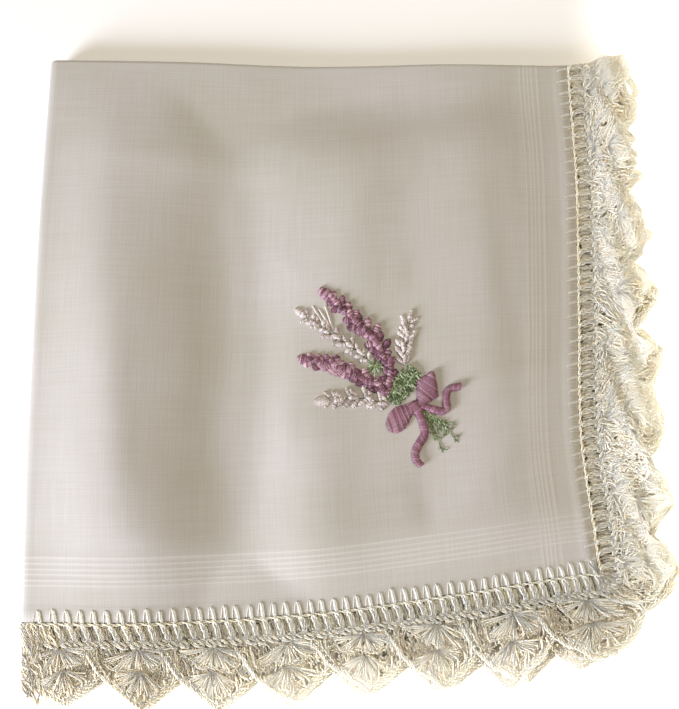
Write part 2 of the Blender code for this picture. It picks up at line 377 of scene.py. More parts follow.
def makeCloth():
    us = clothLines(square["lastRadius"], cloth["sideCords"])
    vs = clothLines(square["firstRadius"], cloth["endCords"])
    u, v = np.meshgrid(us, vs, indexing="ij")
    u = u + lastCrease(np.abs(v)) * np.maximum(1 - np.abs(u) / halfSide, 0)
    v = v + firstCrease(u) * np.maximum(1 - np.abs(v) / halfSide, 0)
    fromSide, fromEnd = halfSide - np.abs(u), halfSide - np.abs(v)
    cordShare = np.maximum(cordAt(fromSide, cloth["sideCords"]), cordAt(fromEnd, cloth["endCords"]))
    fromHemLine = cloth["hemWidth"] + cloth["hemStep"] / 2 - np.minimum(fromSide, fromEnd)
    inHem = smoothStep(fromHemLine / cloth["hemStep"])
    thick = cloth["thickness"] + cloth["cordRise"] * cordShare + cloth["hemRise"] * inHem
    middle = np.where((u > 0) & (v < 0), creaseAt(u, -v), 0.0)   # only the top layer is creased
    points = np.concatenate([folded(u, v, middle + hand * thick / 2).reshape(-1, 3) for hand in (1, -1)])
    # faces of the right side, of the wrong side, and of the rim between them
    index = np.arange(u.size).reshape(u.shape)
    face = np.stack([index[:-1, :-1], index[1:, :-1], index[1:, 1:], index[:-1, 1:]], axis=-1)
    face = face.reshape(-1, 4)
    rim = np.concatenate([index[:-1, 0], index[-1, :-1], index[:0:-1, -1], index[0, :0:-1]])
    after = np.roll(rim, -1)
    sides = np.stack([after, rim, rim + u.size, after + u.size], axis=-1)
    mesh = bpy.data.meshes.new("linenCloth")
    mesh.from_pydata(points.tolist(), [], np.concatenate([face, face[:, ::-1] + u.size, sides]).tolist())
    mesh.materials.append(linen)
    mesh.shade_smooth()
    flat = np.tile(np.stack([u, v], axis=-1).reshape(-1, 2) / (2 * halfSide) + 0.5, (2, 1))
    corners = np.zeros(len(mesh.loops), np.int32)
    mesh.loops.foreach_get("vertex_index", corners)
    mesh.uv_layers.new(name="flatCloth").data.foreach_set("uv", flat[corners].astype(np.float32).ravel())
    layer = mesh.attributes.new("cord", "FLOAT", "POINT")
    layer.data.foreach_set("value", np.tile(cordShare.ravel(), 2).astype(np.float32))
    print("linen cloth:", len(mesh.polygons), "faces")
    return newObject("linenCloth", mesh)


# thread: strands are centre lines, swept by one Geometry Nodes tree
def smoothLine(points, steps):
    # a smooth curve through a few points, as an array of steps + 1 of them
    points = np.array(points, float)
    knots = np.concatenate([[2 * points[0] - points[1]], points, [2 * points[-1] - points[-2]]])
    place = np.linspace(0, len(points) - 1, steps + 1)
    low = np.minimum(place.astype(int), len(points) - 2)
    t = (place - low)[:, None]
    p0, p1, p2, p3 = (knots[low + i] for i in range(4))
    return 0.5 * (2 * p1 + (p2 - p0) * t + (2 * p0 - 5 * p1 + 4 * p2 - p3) * t**2
                  + (3 * p1 - p0 - 3 * p2 + p3) * t**3)


def frameAlong(line):
    # sideways directions of a line that lies nearly flat
    ahead = np.gradient(line, axis=0)
    ahead = ahead / np.maximum(np.linalg.norm(ahead, axis=1, keepdims=True), 1e-9)
    across = np.stack([ahead[:, 1], -ahead[:, 0], np.zeros(len(line))], axis=1)
    return across / np.maximum(np.linalg.norm(across, axis=1, keepdims=True), 1e-9)


def lengthsAlong(line):
    return np.concatenate([[0], np.cumsum(np.linalg.norm(np.diff(line, axis=0), axis=1))])


def valuesAt(places, run, values):
    return np.stack([np.interp(places, run, values[:, k]) for k in range(values.shape[1])], axis=-1)


def twisted(line, spread, turns, phase=0.0, count=2, rise=None):
    # strands wound round each other along a line
    angle = np.linspace(0, tau * turns, len(line)) + phase
    aside, up = frameAlong(line) * spread, np.array([0, 0, spread * 0.8 if rise is None else rise])
    for part in range(count):
        turned = (angle + tau * part / count)[:, None]
        yield line + np.cos(turned) * aside + np.sin(turned) * up


chainLink = np.array([  # along the link, to its side, up: one open loop of thread
    (-0.15, 0.14, -0.10), (0.25, 0.42, 0.02), (0.70, 0.50, 0.12), (1.06, 0.30, 0.20),
    (1.16, 0.00, 0.22), (1.06, -0.30, 0.20), (0.70, -0.50, 0.12), (0.25, -0.42, 0.02),
    (-0.15, -0.14, -0.10)])


def chained(line, links, width):
    # crochet chain along a line: each loop comes out of the one before
    run = lengthsAlong(line)
    places = valuesAt(np.linspace(0, run[-1], links + 1), run, line)
    for start, end in zip(places[:-1], places[1:]):
        ahead = end - start
        across = np.array([ahead[1], -ahead[0], 0]) / max(np.hypot(ahead[0], ahead[1]), 1e-9)
        yield (start + chainLink[:, :1] * ahead + chainLink[:, 1:2] * width * across
               + chainLink[:, 2:] * np.array([0, 0, 1.0]))


class Strands:
    # centre lines gathered before they are swept, each with the scallop that it belongs to
    def __init__(self):
        self.lines, self.radii, self.shades, self.owners, self.owner = [], [], [], [], 0

    def add(self, line, radius, shade):
        self.lines.append(np.asarray(line, float))
        self.radii.append(radius)
        self.shades.append(shade)
        self.owners.append(self.owner)

    def curve(self, points, steps, thread, shade):
        # crochet thread through a few points, its radius as a share of the usual one
        self.add(smoothLine(points, steps), lace["thread"] * thread, shade)

    def points(self):
        return np.concatenate(self.lines)


def sweepTree(name, material):
    # lines to tubes: inputs are the radius scale and the number of sides
    tree = bpy.data.node_groups.new(name, "GeometryNodeTree")
    face = tree.interface
    face.new_socket("Geometry", in_out="INPUT", socket_type="NodeSocketGeometry")
    face.new_socket("Sides", in_out="INPUT", socket_type="NodeSocketInt").default_value = 5
    face.new_socket("Thread Scale", in_out="INPUT", socket_type="NodeSocketFloat").default_value = 1
    face.new_socket("Geometry", in_out="OUTPUT", socket_type="NodeSocketGeometry")
    source = tree.nodes.new("NodeGroupInput").outputs
    line = addNode(tree, "GeometryNodeMeshToCurve", Mesh=source["Geometry"])
    radius = addNode(tree, "GeometryNodeInputNamedAttribute", {"data_type": "FLOAT"}, Name="radius")
    scaled = addNode(tree, "ShaderNodeMath", {"operation": "MULTIPLY"}, i0=radius,
                     i1=source["Thread Scale"])
    line = addNode(tree, "GeometryNodeSetCurveRadius", Curve=line, Radius=scaled)
    ring = addNode(tree, "GeometryNodeCurvePrimitiveCircle", Resolution=source["Sides"], Radius=1.0)
    share = addNode(tree, "GeometryNodeSplineParameter")
    ring = addNode(tree, "GeometryNodeStoreNamedAttribute", {"data_type": "FLOAT", "domain": "POINT"},
                   Geometry=ring, Name="round", Value=share)
    sweep = addNode(tree, "GeometryNodeCurveToMesh", i0=line, i1=ring, Fill_Caps=True)
    if "Scale" in sweep.inputs:
        tree.links.new(scaled.outputs[0], sweep.inputs["Scale"])
    smooth = addNode(tree, "GeometryNodeSetShadeSmooth", Geometry=sweep)
    real = addNode(tree, "GeometryNodeRealizeInstances", Geometry=smooth)
    painted = addNode(tree, "GeometryNodeSetMaterial", Geometry=real, Material=material)
    addNode(tree, "NodeGroupOutput", i0=painted)
    return tree


def sweptPiece(name, strands, places, tree, sides):
    # strands, whose points now lie at places, become one mesh of tubes
    counts = np.array([len(line) for line in strands.lines])
    first = np.ones(len(places), bool)
    first[np.concatenate([[0], np.cumsum(counts)[:-1]])] = False
    ends = np.nonzero(first)[0]
    mesh = bpy.data.meshes.new(name + "Lines")
    mesh.vertices.add(len(places))
    mesh.vertices.foreach_set("co", places.astype(np.float32).ravel())
    mesh.edges.add(len(ends))
    mesh.edges.foreach_set("vertices", np.stack([ends - 1, ends], axis=1).astype(np.int32).ravel())
    gaps = np.concatenate([[0], np.linalg.norm(np.diff(places, axis=0), axis=1)])
    plyLength = 0.9 * mm
    for attribute, values in (("radius", np.repeat(strands.radii, counts) * mm),
                              ("shade", np.repeat(strands.shades, counts)),
                              ("along", np.cumsum(np.where(first, gaps, 0.0)) / plyLength)):
        layer = mesh.attributes.new(attribute, "FLOAT", "POINT")
        layer.data.foreach_set("value", values.astype(np.float32))
    lines = newObject(name + "Lines", mesh)
    modifier = lines.modifiers.new("sweep", "NODES")
    modifier.node_group = tree
    for item in tree.interface.items_tree:
        if item.name == "Sides" and item.in_out == "INPUT":
            modifier[item.identifier] = sides
    evaluated = lines.evaluated_get(bpy.context.evaluated_depsgraph_get())
    solid = bpy.data.meshes.new_from_object(evaluated)
    bpy.data.objects.remove(lines)
    solid.name = name
    solid.calc_loop_triangles()
    print(name, len(strands.lines), "strands", len(solid.loop_triangles), "triangles")
    return newObject(name, solid)


# the crochet edging
lace = dict(
    perHalfSide=8,            # scallops from a crease to a corner's diagonal
    turnRadius=8.0,           # how far out they are evenly spaced round a corner
    toCrease=(0.0, 16.0, 32.3, 48.0, 64.0),   # scallops counted round to each side's middle
    lastFold=48,              # the first scallop of the top layer, and the one at its free corner
    corner=56,
    paintedShadeAndLight=(-0.35, 0.14, 1.6),  # tone added at the last fold as painted shade and at the corner as painted light, and over how many scallops
    postsPerScallop=5.5,
    crowded=0.28,             # share by which they close up from the last fold to the corner
    thread=0.21,              # radius
    loopReach=2.7,            # how far the edge loops reach over the hem
    loopShift=-0.4,
    noLoops=1.6,              # none this near the last fold
    ladderOut=4.5,
    valley=11.8,
    tip=18.7,
    tipShare=0.56,
    frizz=1250,               # teased stitches down the right side
    frizzScallops=(56.3, 7.6),   # the first of its scallops and how many
    frizzOut=17.0,            # how far out they keep to
    pressed=380,              # and pressed ones at the last fold
    fill=330,                 # threads behind each scallop of the top layer
    ladderFill=11,            # and behind each gap of its ladder
    openCorners=(50, 51, 52, 54, 57, 59, 61),   # scallops with a hole at their tip's left
    looseStitches=11,         # in each scallop, between its shells and its outline
    sweeps=6,                 # long stitches towards the cord
    sidePosts=5,
    shellShare=0.46,          # where the shells stand across the scallop
    postShift=(0.0, 0.5, 0.2, -0.3),   # the layers' posts don't line up
    foldGap=(2.5, 4.3, 0.0, 1.1),      # how far each layer's scallops keep clear of the last fold
    ruffle=(3.4, 2.2),        # side to side and upwards, where the lace is gathered
    underRise=0.22,           # most that the lowest layer's threads stand out towards the table
)
# how far the scallops reach, as a share of their depth: from the first fold down the right
# side to the corner, then along the bottom to the last fold
laceReach = dict(
    top=(0.86, 0.76, 0.78, 0.84, 0.92, 0.98, 1.0, 0.98, 0.98,
         1.12, 1.12, 1.0, 0.96, 1.02, 0.98, 0.91, 0.94),
    under=(1.0, 0.88, 0.87, 1.0, 1.05, 1.09, 1.07, 0.98, 0.97,
           1.14, 1.1, 1.0, 0.98, 1.02, 0.96, 0.9, 0.93),
)
# how gathered it is along the same way
laceGather = (0.7, 1.0, 1.0, 1.0, 0.9, 1.0, 0.9, 0.7, 0.5, 0.3, 0.2, 0.15, 0.1, 0.1, 0.1, 0.1, 0.05)
halfRun = halfSide + lace["turnRadius"] * math.pi / 4
pitch = halfRun / lace["perHalfSide"]


def lacePlace(run, out):
    # flat place of lace points: run round the edge, out from the hem
    side = np.round(run / (2 * halfRun))
    run = run - side * 2 * halfRun
    pastCorner = np.maximum(np.abs(run) - halfSide, 0)
    angle = np.sign(run) * pastCorner / lace["turnRadius"]
    along = np.sign(run) * np.minimum(np.abs(run), halfSide) + out * np.sin(angle)
    outward = halfSide + out * np.cos(angle)
    turn = (side % 4) * math.pi / 2   # 0 is the side at +X, then anticlockwise
    cosSide, sinSide = np.round(np.cos(turn)), np.round(np.sin(turn))
    return outward * cosSide - along * sinSide, outward * sinSide + along * cosSide


def alongSteps(values, share):
    # smooth curve through even steps, 0 to 1
    line = smoothLine([(v, 0, 0) for v in values], 160)[:, 0]
    return np.interp(share, np.linspace(0, 1, len(line)), line)


def scallopEdge(x):
    # hem to outline, across one scallop
    share = np.clip(x / pitch, 0, 1)
    lean = lace["tipShare"]
    bump = np.where(share < lean, share / lean, (1 - share) / (1 - lean))
    return lace["valley"] + (lace["tip"] - lace["valley"]) * bump**0.9


def postPlaces(scallop, shift=0.0):
    # the posts that stand on one scallop; their spacing runs on past its ends
    scallops = np.linspace(0, 64, 1281)
    pastFold = np.clip(scallops - lace["lastFold"], 0, 8)
    counted = lace["postsPerScallop"] * (scallops + lace["crowded"] * pastFold**2 / 16)
    low, high = np.interp([scallop, scallop + 1], scallops, counted)
    posts = np.arange(math.ceil(low - 0.5 - shift), math.ceil(high - 0.5 - shift)) + 0.5 + shift
    return [(float(place) - scallop) * pitch for place in np.interp(posts, counted, scallops)]


def fromFold(scallop, x):
    # mm round the edge from the last fold of the cloth, at scallops 16 and 48
    run = np.interp(scallop + x / pitch, lace["toCrease"], 2 * halfRun * np.arange(5))
    return min(run - 2 * halfRun, run - 6 * halfRun, key=abs)


def onSide(scallop):
    # down the right side of the quarter, in the top layer or the lowest
    return scallop >= lace["corner"] or 32 <= scallop < 40


def addEdgeLoops(strands, rng, scallop):
    # hairpin loops pierced through the hem: a thin upright leg and a stout leaning one;
    # down the sides they are drawn tight and sink into the cloth
    slack = 0.0 if onSide(scallop) else 1.0
    low, shade = 0.05 - 0.12 * (1 - slack), 0.62 + 0.22 * slack
    for x in postPlaces(scallop, lace["loopShift"]):
        if abs(fromFold(scallop, x)) < lace["noLoops"]:
            continue
        x = x + rng.normal(0, 0.12)
        reach = lace["loopReach"] + rng.normal(0, 0.18)
        lean = rng.normal(0, 0.10)
        # painted shade: the thin leg's thread is a shade darker than the stout leg's
        thin = [(x - 0.62, 0.2, low + 0.20), (x - 0.55 + lean, -reach * 0.5, low + 0.25),
                (x - 0.42 + lean, -reach * 0.9, low + 0.2), (x - 0.12 + lean, -reach, low + 0.18)]
        strands.curve(thin, 7, 0.5, shade - 0.1 + rng.uniform(-0.1, 0.1))
        for aside, short in ((0.0, 0.0), (0.30, 0.16)):
            stout = [(x - 0.22 + aside + lean, -reach + short, low + 0.15),
                     (x + 0.08 + aside + lean, -reach * 0.80, low + 0.25),
                     (x + 0.34 + aside, -reach * 0.38, low + 0.30), (x + 0.55 + aside, 0.25, low + 0.25)]
            strands.curve(stout, 7, 0.65 + 0.6 * slack, shade + rng.uniform(-0.05, 0.15))


def addChain(strands, rng, controls, links, width, tone, thread=1.0):
    line = smoothLine(controls, max(8, links * 2))
    for loop in chained(line, links, width):
        loop = loop + rng.normal(0, 0.03, 3)
        strands.add(loop, lace["thread"] * thread, tone + rng.uniform(-0.15, 0.15))


def addRope(strands, rng, controls, turns, spread, tone, count=2, thread=1.0, rise=None):
    # threads wound along a few points; a wide, low one reads as a row of chain stitches
    line = smoothLine(controls, max(8, round(turns * 7)))
    for strand in twisted(line, spread, turns, rng.uniform(0, tau), count, rise):
        strand = strand + rng.normal(0, 0.02, 3)
        strands.add(strand, lace["thread"] * thread, tone + rng.uniform(-0.15, 0.15))


def addPost(strands, rng, start, end, tone, spread=0.17, sway=0.0):
    middle = np.add(start, end) / 2 + [sway, 0, 0.12]
    for strand in twisted(smoothLine([start, middle, end], 7), spread, 1.2, rng.uniform(0, tau)):
        strands.add(strand, lace["thread"], tone + rng.uniform(-0.12, 0.12))


def addLadder(strands, rng, scallop, shift):
    # a rope along the hem, posts that lean, and a slanting oval under each post
    ropeTone, postTone = (0.35, 0.45) if onSide(scallop) else (0.65, 0.7)
    rope = [(-0.1, 0.42, 0.22), (pitch / 2, 0.42, 0.26), (pitch + 0.1, 0.42, 0.22)]
    addRope(strands, rng, rope, 5, 0.20, ropeTone)
    legs = (-0.3, 0.3) if 16 <= scallop < 48 else (-0.36, 0.0, 0.36)   # the lowest layers need fewer
    out = lace["ladderOut"]
    for x in postPlaces(scallop, shift):
        x = x + rng.normal(0, 0.10)
        lean = 0.6 + rng.normal(0, 0.18)
        head = [(x - 0.65, 0.75, 0.35), (x - 0.25, 0.62, 0.5), (x + 0.05, 1.1, 0.45)]
        strands.curve(head, 5, 1.2, rng.uniform(0.7, 0.95))
        for aside in legs:
            foot = (x + lean + aside, out, 0.2)
            addPost(strands, rng, (x - 0.3 + aside, 0.7, 0.2), foot, postTone, spread=0.13, sway=0.3)
        low, high = (x - 1.1 + lean, out - 0.25, 0.25), (x + 1.6 + lean, out + 0.75, 0.3)
        for width, lift in ((1.25, 0.0), (0.7, 0.16)):
            addChain(strands, rng, [low, np.add(low, high) / 2 + [0, 0, 0.1 + lift], high], 1, width, 0.65)
        link = [(x + lean - 0.2, out + 0.1, 0.5), (x + lean + 0.7, out + 0.85, 0.55),
                (x + lean + 1.4, out + 1.1, 0.4)]
        strands.curve(link, 5, 1.1, rng.uniform(0.6, 0.9))


def headed(heading, reach=1.0):
    # flat step of a length: 0 is straight out from the hem
    return np.array([math.sin(heading), math.cos(heading), 0]) * reach


def addShell(strands, rng, centre, shell, brushed):
    # posts that fan out of one stitch, each bowed a little its own way; brushed is how many
    # loose strands each post has frayed into, or 0
    tilt = rng.normal(0, 9)
    ends = []
    for share in np.linspace(-1, 1, shell["posts"]):
        angle = math.radians(share * shell["spread"] + tilt + rng.normal(0, 5))
        reach = shell["reach"] + (shell["sideReach"] - shell["reach"]) * share**2 + rng.normal(0, 0.5)
        start = np.array([centre[0] + 0.45 * math.sin(angle), centre[1] + 0.25, shell["lift"]])
        end = np.array([*centre, shell["lift"] + 0.05]) + headed(angle, reach)
        ends.append(end)
        if not brushed:
            addPost(strands, rng, start, end, 0.55, spread=0.19, sway=rng.normal(0, 0.2) + 0.25 * share)
        for fan in (np.arange(brushed) + 0.5) / max(brushed, 1) - 0.5:
            aside = np.array([math.cos(angle), -math.sin(angle), 0]) * fan
            middle = (start + end) / 2 + aside * 0.7 + [rng.normal(0, 0.12), 0, 0.15 + rng.uniform(0, 0.3)]
            line = [start + aside * 0.3, middle, end + aside * 1.5 + rng.normal(0, 0.15, 3)]
            strands.curve(line, 5, rng.uniform(0.62, 0.9), 0.62 + rng.uniform(-0.15, 0.2))
    return ends


# the two shells of a scallop, the second standing on the first
shells = (
    dict(aside=0.0, foot=5.7, posts=8, spread=74, reach=4.3, sideReach=7.4, lift=0.3, chainLift=0.3),
    dict(aside=0.3, foot=10.6, posts=8, spread=66, reach=4.6, sideReach=5.6, lift=0.5, chainLift=0.35),
)


def addScallop(strands, rng, brushed):
    middle, tip = pitch * lace["shellShare"], lace["tipShare"] * pitch
    for shell in shells:   # each with a chain round the ends of its posts
        centre = (middle + shell["aside"] + rng.normal(0, 0.4), shell["foot"])
        ends = addShell(strands, rng, centre, shell, brushed)
        chain = [(x, y + rng.normal(0.1, 0.3), shell["chainLift"]) for x, y, _ in ends]
        addRope(strands, rng, chain, 4, 0.24, 0.5, rise=0.1, thread=0.8)
    # outline: a stout chain down to the tip and a lighter one back up, each doubled further in
    tip = tip + rng.normal(0, 0.4)
    left = [(x, scallopEdge(x), 0.3) for x in np.linspace(0.0, tip, 5)]
    right = [(x, scallopEdge(x) + 0.5 * math.sin(math.pi * (x - tip) / (pitch - tip)), 0.2)
             for x in np.linspace(tip, pitch, 5)]
    for controls, turns, spread, tone, count, rise in (
            (left, 4, 0.34, 0.7, 3, 0.2),
            ([(x + 0.2, y - 1.0, 0.4) for x, y, _ in left[1:]], 4, 0.30, 0.7, 2, 0.12),
            (right, 5, 0.36, 0.7, 2, 0.14),
            ([(x - 0.2, y - 1.0, 0.35) for x, y, _ in right[:-1]], 4, 0.28, 0.65, 2, 0.12)):
        addRope(strands, rng, controls, turns, spread, tone, count, 1.0, rise)
    # loose stitches between the shells and the outline, and across the open corners
    for k in range(lace["looseStitches"]):
        x = pitch * (0.06 + 0.88 * k / (lace["looseStitches"] - 1)) + rng.normal(0, 0.2)
        out = float(scallopEdge(x)) - 0.2
        inner = min(out - 1.0, 14.4 - abs(x - middle) * 0.36 + rng.normal(0, 0.4))
        lean = rng.normal(-0.4, 0.5)
        line = [(x + lean, inner, 0.35), (x + lean / 2, (inner + out) / 2, 0.5), (x, out, 0.3)]
        strands.curve(line, 5, rng.uniform(0.9, 1.15), 0.65 + rng.uniform(-0.15, 0.2))
    # long sweeps from the first shell's foot towards the cord on its right
    for k in range(lace["sweeps"]):
        angle = math.radians(50 + 7 * k + rng.normal(0, 3))
        reach = 5.2 + 0.35 * k + rng.normal(0, 0.5)
        line = [(middle + 0.6 * math.sin(angle), 5.9, 0.35),
                (middle + 0.55 * reach * math.sin(angle), 5.9 + 0.62 * reach * math.cos(angle), 0.55),
                (middle + reach * math.sin(angle), 6.4 + reach * math.cos(angle) * 0.9, 0.4)]
        strands.curve(line, 8, 1.15, rng.uniform(0.5, 0.9))
    # side posts that run from the ladder down to the cord
    for k in range(lace["sidePosts"]):
        x = pitch - 5.6 + 1.15 * k + rng.normal(0, 0.2)
        drop = 7.2 + 1.2 * k + rng.uniform(0, 1.2)
        end = (x + 1.1 + rng.normal(0, 0.4), min(drop, 11.2), 0.3)
        addPost(strands, rng, (x, 6.1, 0.2), end, 0.5, spread=0.16)
    # stitches that fill the open corners behind all that
    for k in range(3 * brushed):
        centre = np.array([rng.uniform(0, pitch), rng.uniform(6.2, 10.8), -0.05])
        ahead = headed(rng.normal(0.35, 0.5), rng.uniform(1.5, 2.6))
        line = [centre - ahead, centre + [0.2, 0, 0.1], centre + ahead]
        strands.curve(line, 4, 0.9, rng.uniform(0.2, 0.6))
    # twisted cord from the ladder's foot to the next scallop's edge
    cord = [(pitch - 4.3, 6.0, 0.4), (pitch - 2.3, 8.6, 0.6), (pitch, lace["valley"], 0.5)]
    addRope(strands, rng, cord, 2.5, 0.30, 0.8, 3, 1.0)
    if rng.random() < 0.6:   # now and then a chain lies beside it
        addChain(strands, rng, [(x + 0.9, y + 0.1, h - 0.1) for x, y, h in cord], 5, 0.9, 0.75)


def gathered(scallop, x, out, n, layer):
    # run round the edge and distance out, after the gathering the lace has picked up
    run = np.interp(scallop + x / pitch, lace["toCrease"], 2 * halfRun * np.arange(5))
    fromLast = run - np.round((run / halfRun - 2) / 4) * 4 * halfRun - 2 * halfRun  # the creases on +-Y
    fromLast = np.where(np.abs(fromLast) > 2 * halfRun, 0, fromLast)
    nearFold = np.clip(1 - np.abs(fromLast) / (0.9 * halfRun), 0, 1)
    # pressed flat in the fold, and a little everywhere past the hem
    n = n * (1 - 0.75 * np.exp(-(fromLast / 2.5) ** 2)) * (1 - 0.45 * smoothStep((out - 0.6) / 3))
    run = run + lace["foldGap"][layer - 1] * np.tanh(fromLast / 5) * nearFold
    # share of the way from the first fold, round the corner, to the last fold
    isTop = layer == 1
    side = np.mod(run, 4 * halfRun) / (2 * halfRun)
    share = np.where(side < 1, side, 2 - side)
    reach = alongSteps(laceReach["top" if isTop else "under"], share)
    loose = alongSteps(laceGather, share) * (1.0 if isTop else 0.55)
    freed = loose * smoothStep((out - 4.5) / 8)
    out = out * (1 + (reach - 1) * smoothStep(out / 10))
    wave = run / 10.5 + 1.3 * np.sin(run / 31)
    aside, up = lace["ruffle"]
    run = run + aside * freed * np.sin(wave) * 0.9
    n = n + up * freed * (0.6 + 0.6 * np.sin(wave + 1.4) + 0.3 * np.sin(run / 2.9 + out)) * isTop
    out = out + freed * 0.7 * np.sin(run / 4.3 + 0.4 * out)
    out = out + loose * smoothStep((out - 12) / 4) * 0.9 * np.sin(run / 0.85 + 2 * layer)
    if layer == 4:   # nor does the lowest layer stand out into the table
        n = np.minimum(n, lace["underRise"])
    return run, out, n


def laid(strands, layer):
    # where the strands' points lie once the edging is gathered and folded
    owners = np.repeat(strands.owners, [len(line) for line in strands.lines])
    run, out, n = gathered(owners, *strands.points().T, layer)
    return folded(*lacePlace(run, out), n)


def makeFrizz(tree):
    # worn, teased stitches: they stand up out of the top layer down the right side, and lie
    # pressed together in the turn of the last fold
    standing, pressed, rng = Strands(), Strands(), np.random.default_rng(41)
    first, count = lace["frizzScallops"]
    for k in range(lace["frizz"]):
        x = (first + count * rng.uniform(0, 1)) * pitch + rng.normal(0, 1)
        middle = np.array([x, rng.uniform(5.4, 15.0), 0.25])
        heading = rng.normal(0.15, 0.45) + 0.5 * math.sin(x / 5.3)
        reach = rng.uniform(2.0, 5.0)
        bow = rng.normal(0, 0.16) * reach
        ahead = headed(heading)
        bowed = np.array([ahead[1], -ahead[0], 0]) * bow + [0, 0, rng.uniform(0.2, 0.9)]
        line = smoothLine([middle + ahead * reach * (t - 0.5) + bowed * math.sin(math.pi * t)
                           for t in (0, 0.33, 0.67, 1)], 6)
        line[:, 1] = np.minimum(line[:, 1], lace["frizzOut"])
        standing.add(line, lace["thread"] * rng.uniform(0.5, 0.85), rng.uniform(0.6, 1.0))
    for k in range(lace["pressed"]):
        aside = abs(rng.normal(0, 3.4)) + 0.2
        out = rng.uniform(0.8, min(11.5 + 1.0 * aside, lace["frizzOut"]))
        ahead = headed(rng.normal(0.25, 0.35), rng.uniform(1.6, 3.6) / 2)
        centre = np.array([aside, out, 0.05 + rng.uniform(0, 0.35)])
        curl = np.array([rng.normal(0, 0.25), 0, 0.1])
        line = smoothLine([centre - ahead, centre + curl, centre + ahead], 5)
        line[:, :2] = np.clip(line[:, :2], (0.1, 0.3), (np.inf, lace["frizzOut"] + 0.2))
        pressed.add(line, lace["thread"] * rng.uniform(0.6, 1.05), rng.uniform(0.1, 0.55))
    x, out, n = pressed.points().T
    places = np.concatenate([laid(standing, 1), folded(*lacePlace(6 * halfRun + x, out), n)])
    standing.lines += pressed.lines
    standing.radii += pressed.radii
    standing.shades += pressed.shades
    return sweptPiece("lace_frizz", standing, places, tree, 4)


def makeFill(tree):
    # the back halves of the top layer's stitches: short threads, close together, behind the
    # ladder and the shells; they keep clear of the open corner at the left of some scallops' tips
    strands, rng = Strands(), np.random.default_rng(58)
    for strands.owner in range(48, 64):
        # painted light: along the bottom the threads behind the ladder's gaps are a shade paler
        paintedGapLight = 0.0 if onSide(strands.owner) else 0.2
        for x in postPlaces(strands.owner, 0.5):
            for k in range(lace["ladderFill"]):
                beside = x + 0.18 * (k - lace["ladderFill"] // 2 + rng.uniform(-0.5, 0.5))
                foot = rng.uniform(0.4, 1.6)
                line = [(beside - 0.2, foot, 0.0), (beside + 0.2, foot + 1.6, 0.05),
                        (beside + 0.5 + rng.normal(0, 0.2), foot + 3.0, 0.0)]
                strands.add(line, lace["thread"] * 0.9, rng.uniform(0.3, 0.6) + paintedGapLight)
        for k in range(lace["fill"]):
            x, out = rng.uniform(0, pitch), rng.uniform(5.2, 17.0)
            ahead = headed(rng.normal(0.3, 0.5), rng.uniform(0.9, 1.7))
            centre = np.array([x, out, rng.uniform(-0.10, 0.12)])
            inCorner = math.hypot((x - 0.24 * pitch) / 1.3, (out - 12.4) / 1.5) < 1
            if out > scallopEdge(x) - 1.3 or (inCorner and strands.owner in lace["openCorners"]):
                continue
            strands.add([centre - ahead, centre + [0.1, 0, 0.06], centre + ahead],
                        lace["thread"] * rng.uniform(0.8, 1.1), rng.uniform(0.3, 0.65))
    return sweptPiece("lace_fill", strands, laid(strands, 1), tree, 3)


def makeLace(tree):
    # layer 1 is the top one; it and its lower neighbours are counted round the edge
    runs = dict(lace_layer_1_bottom=(1, range(48, 56)), lace_layer_1_right=(1, range(56, 64)),
                lace_layer_2=(2, range(0, 16)), lace_layer_3=(3, range(16, 32)),
                lace_layer_4=(4, range(32, 48)))
    pieces = []
    for name, (layer, counted) in runs.items():
        strands = Strands()
        for strands.owner in counted:
            rng = np.random.default_rng(1000 + strands.owner)
            if layer in (1, 4):
                addEdgeLoops(strands, rng, strands.owner)
            addLadder(strands, rng, strands.owner, lace["postShift"][layer - 1])
            addScallop(strands, rng, 4 if layer == 1 else 0)
        # painted shade: a little darker at the last fold; painted light: paler at the corner
        paintedFoldShade, paintedCornerLight, reach = lace["paintedShadeAndLight"]
        middles = np.array(strands.owners) + 0.5
        strands.shades = (np.array(strands.shades)
                          + paintedFoldShade * np.exp(-np.abs(middles - lace["lastFold"]) / reach)
                          + paintedCornerLight * np.exp(-np.abs(middles - lace["corner"]) / reach))
        pieces.append(sweptPiece(name, strands, laid(strands, layer), tree, 4 if layer == 1 else 3))
    return pieces


# the embroidered lavender bunch, in mm right and down from the crease corner
bunch = dict(
    thread=0.14,              # radius of one stitch's thread
    gap=0.25,                 # between neighbouring stitches
    rise=0.42,                # satin padding
    clothTop=0.16,
    moved=(1.0, -0.8),        # where the hoop sat on the cloth, and how askew
    askew=0.085,
    hoopRight=90.0,
    leaves=230,               # stitches in the leaves under the bow, and the line they lie along
    leavesLine=((90.3, 79.0), (85.0, 86.4)),
    starLeaves=26,
    star=(80.9, 78.3),
    stemsStart=(92.0, 88.8),
)
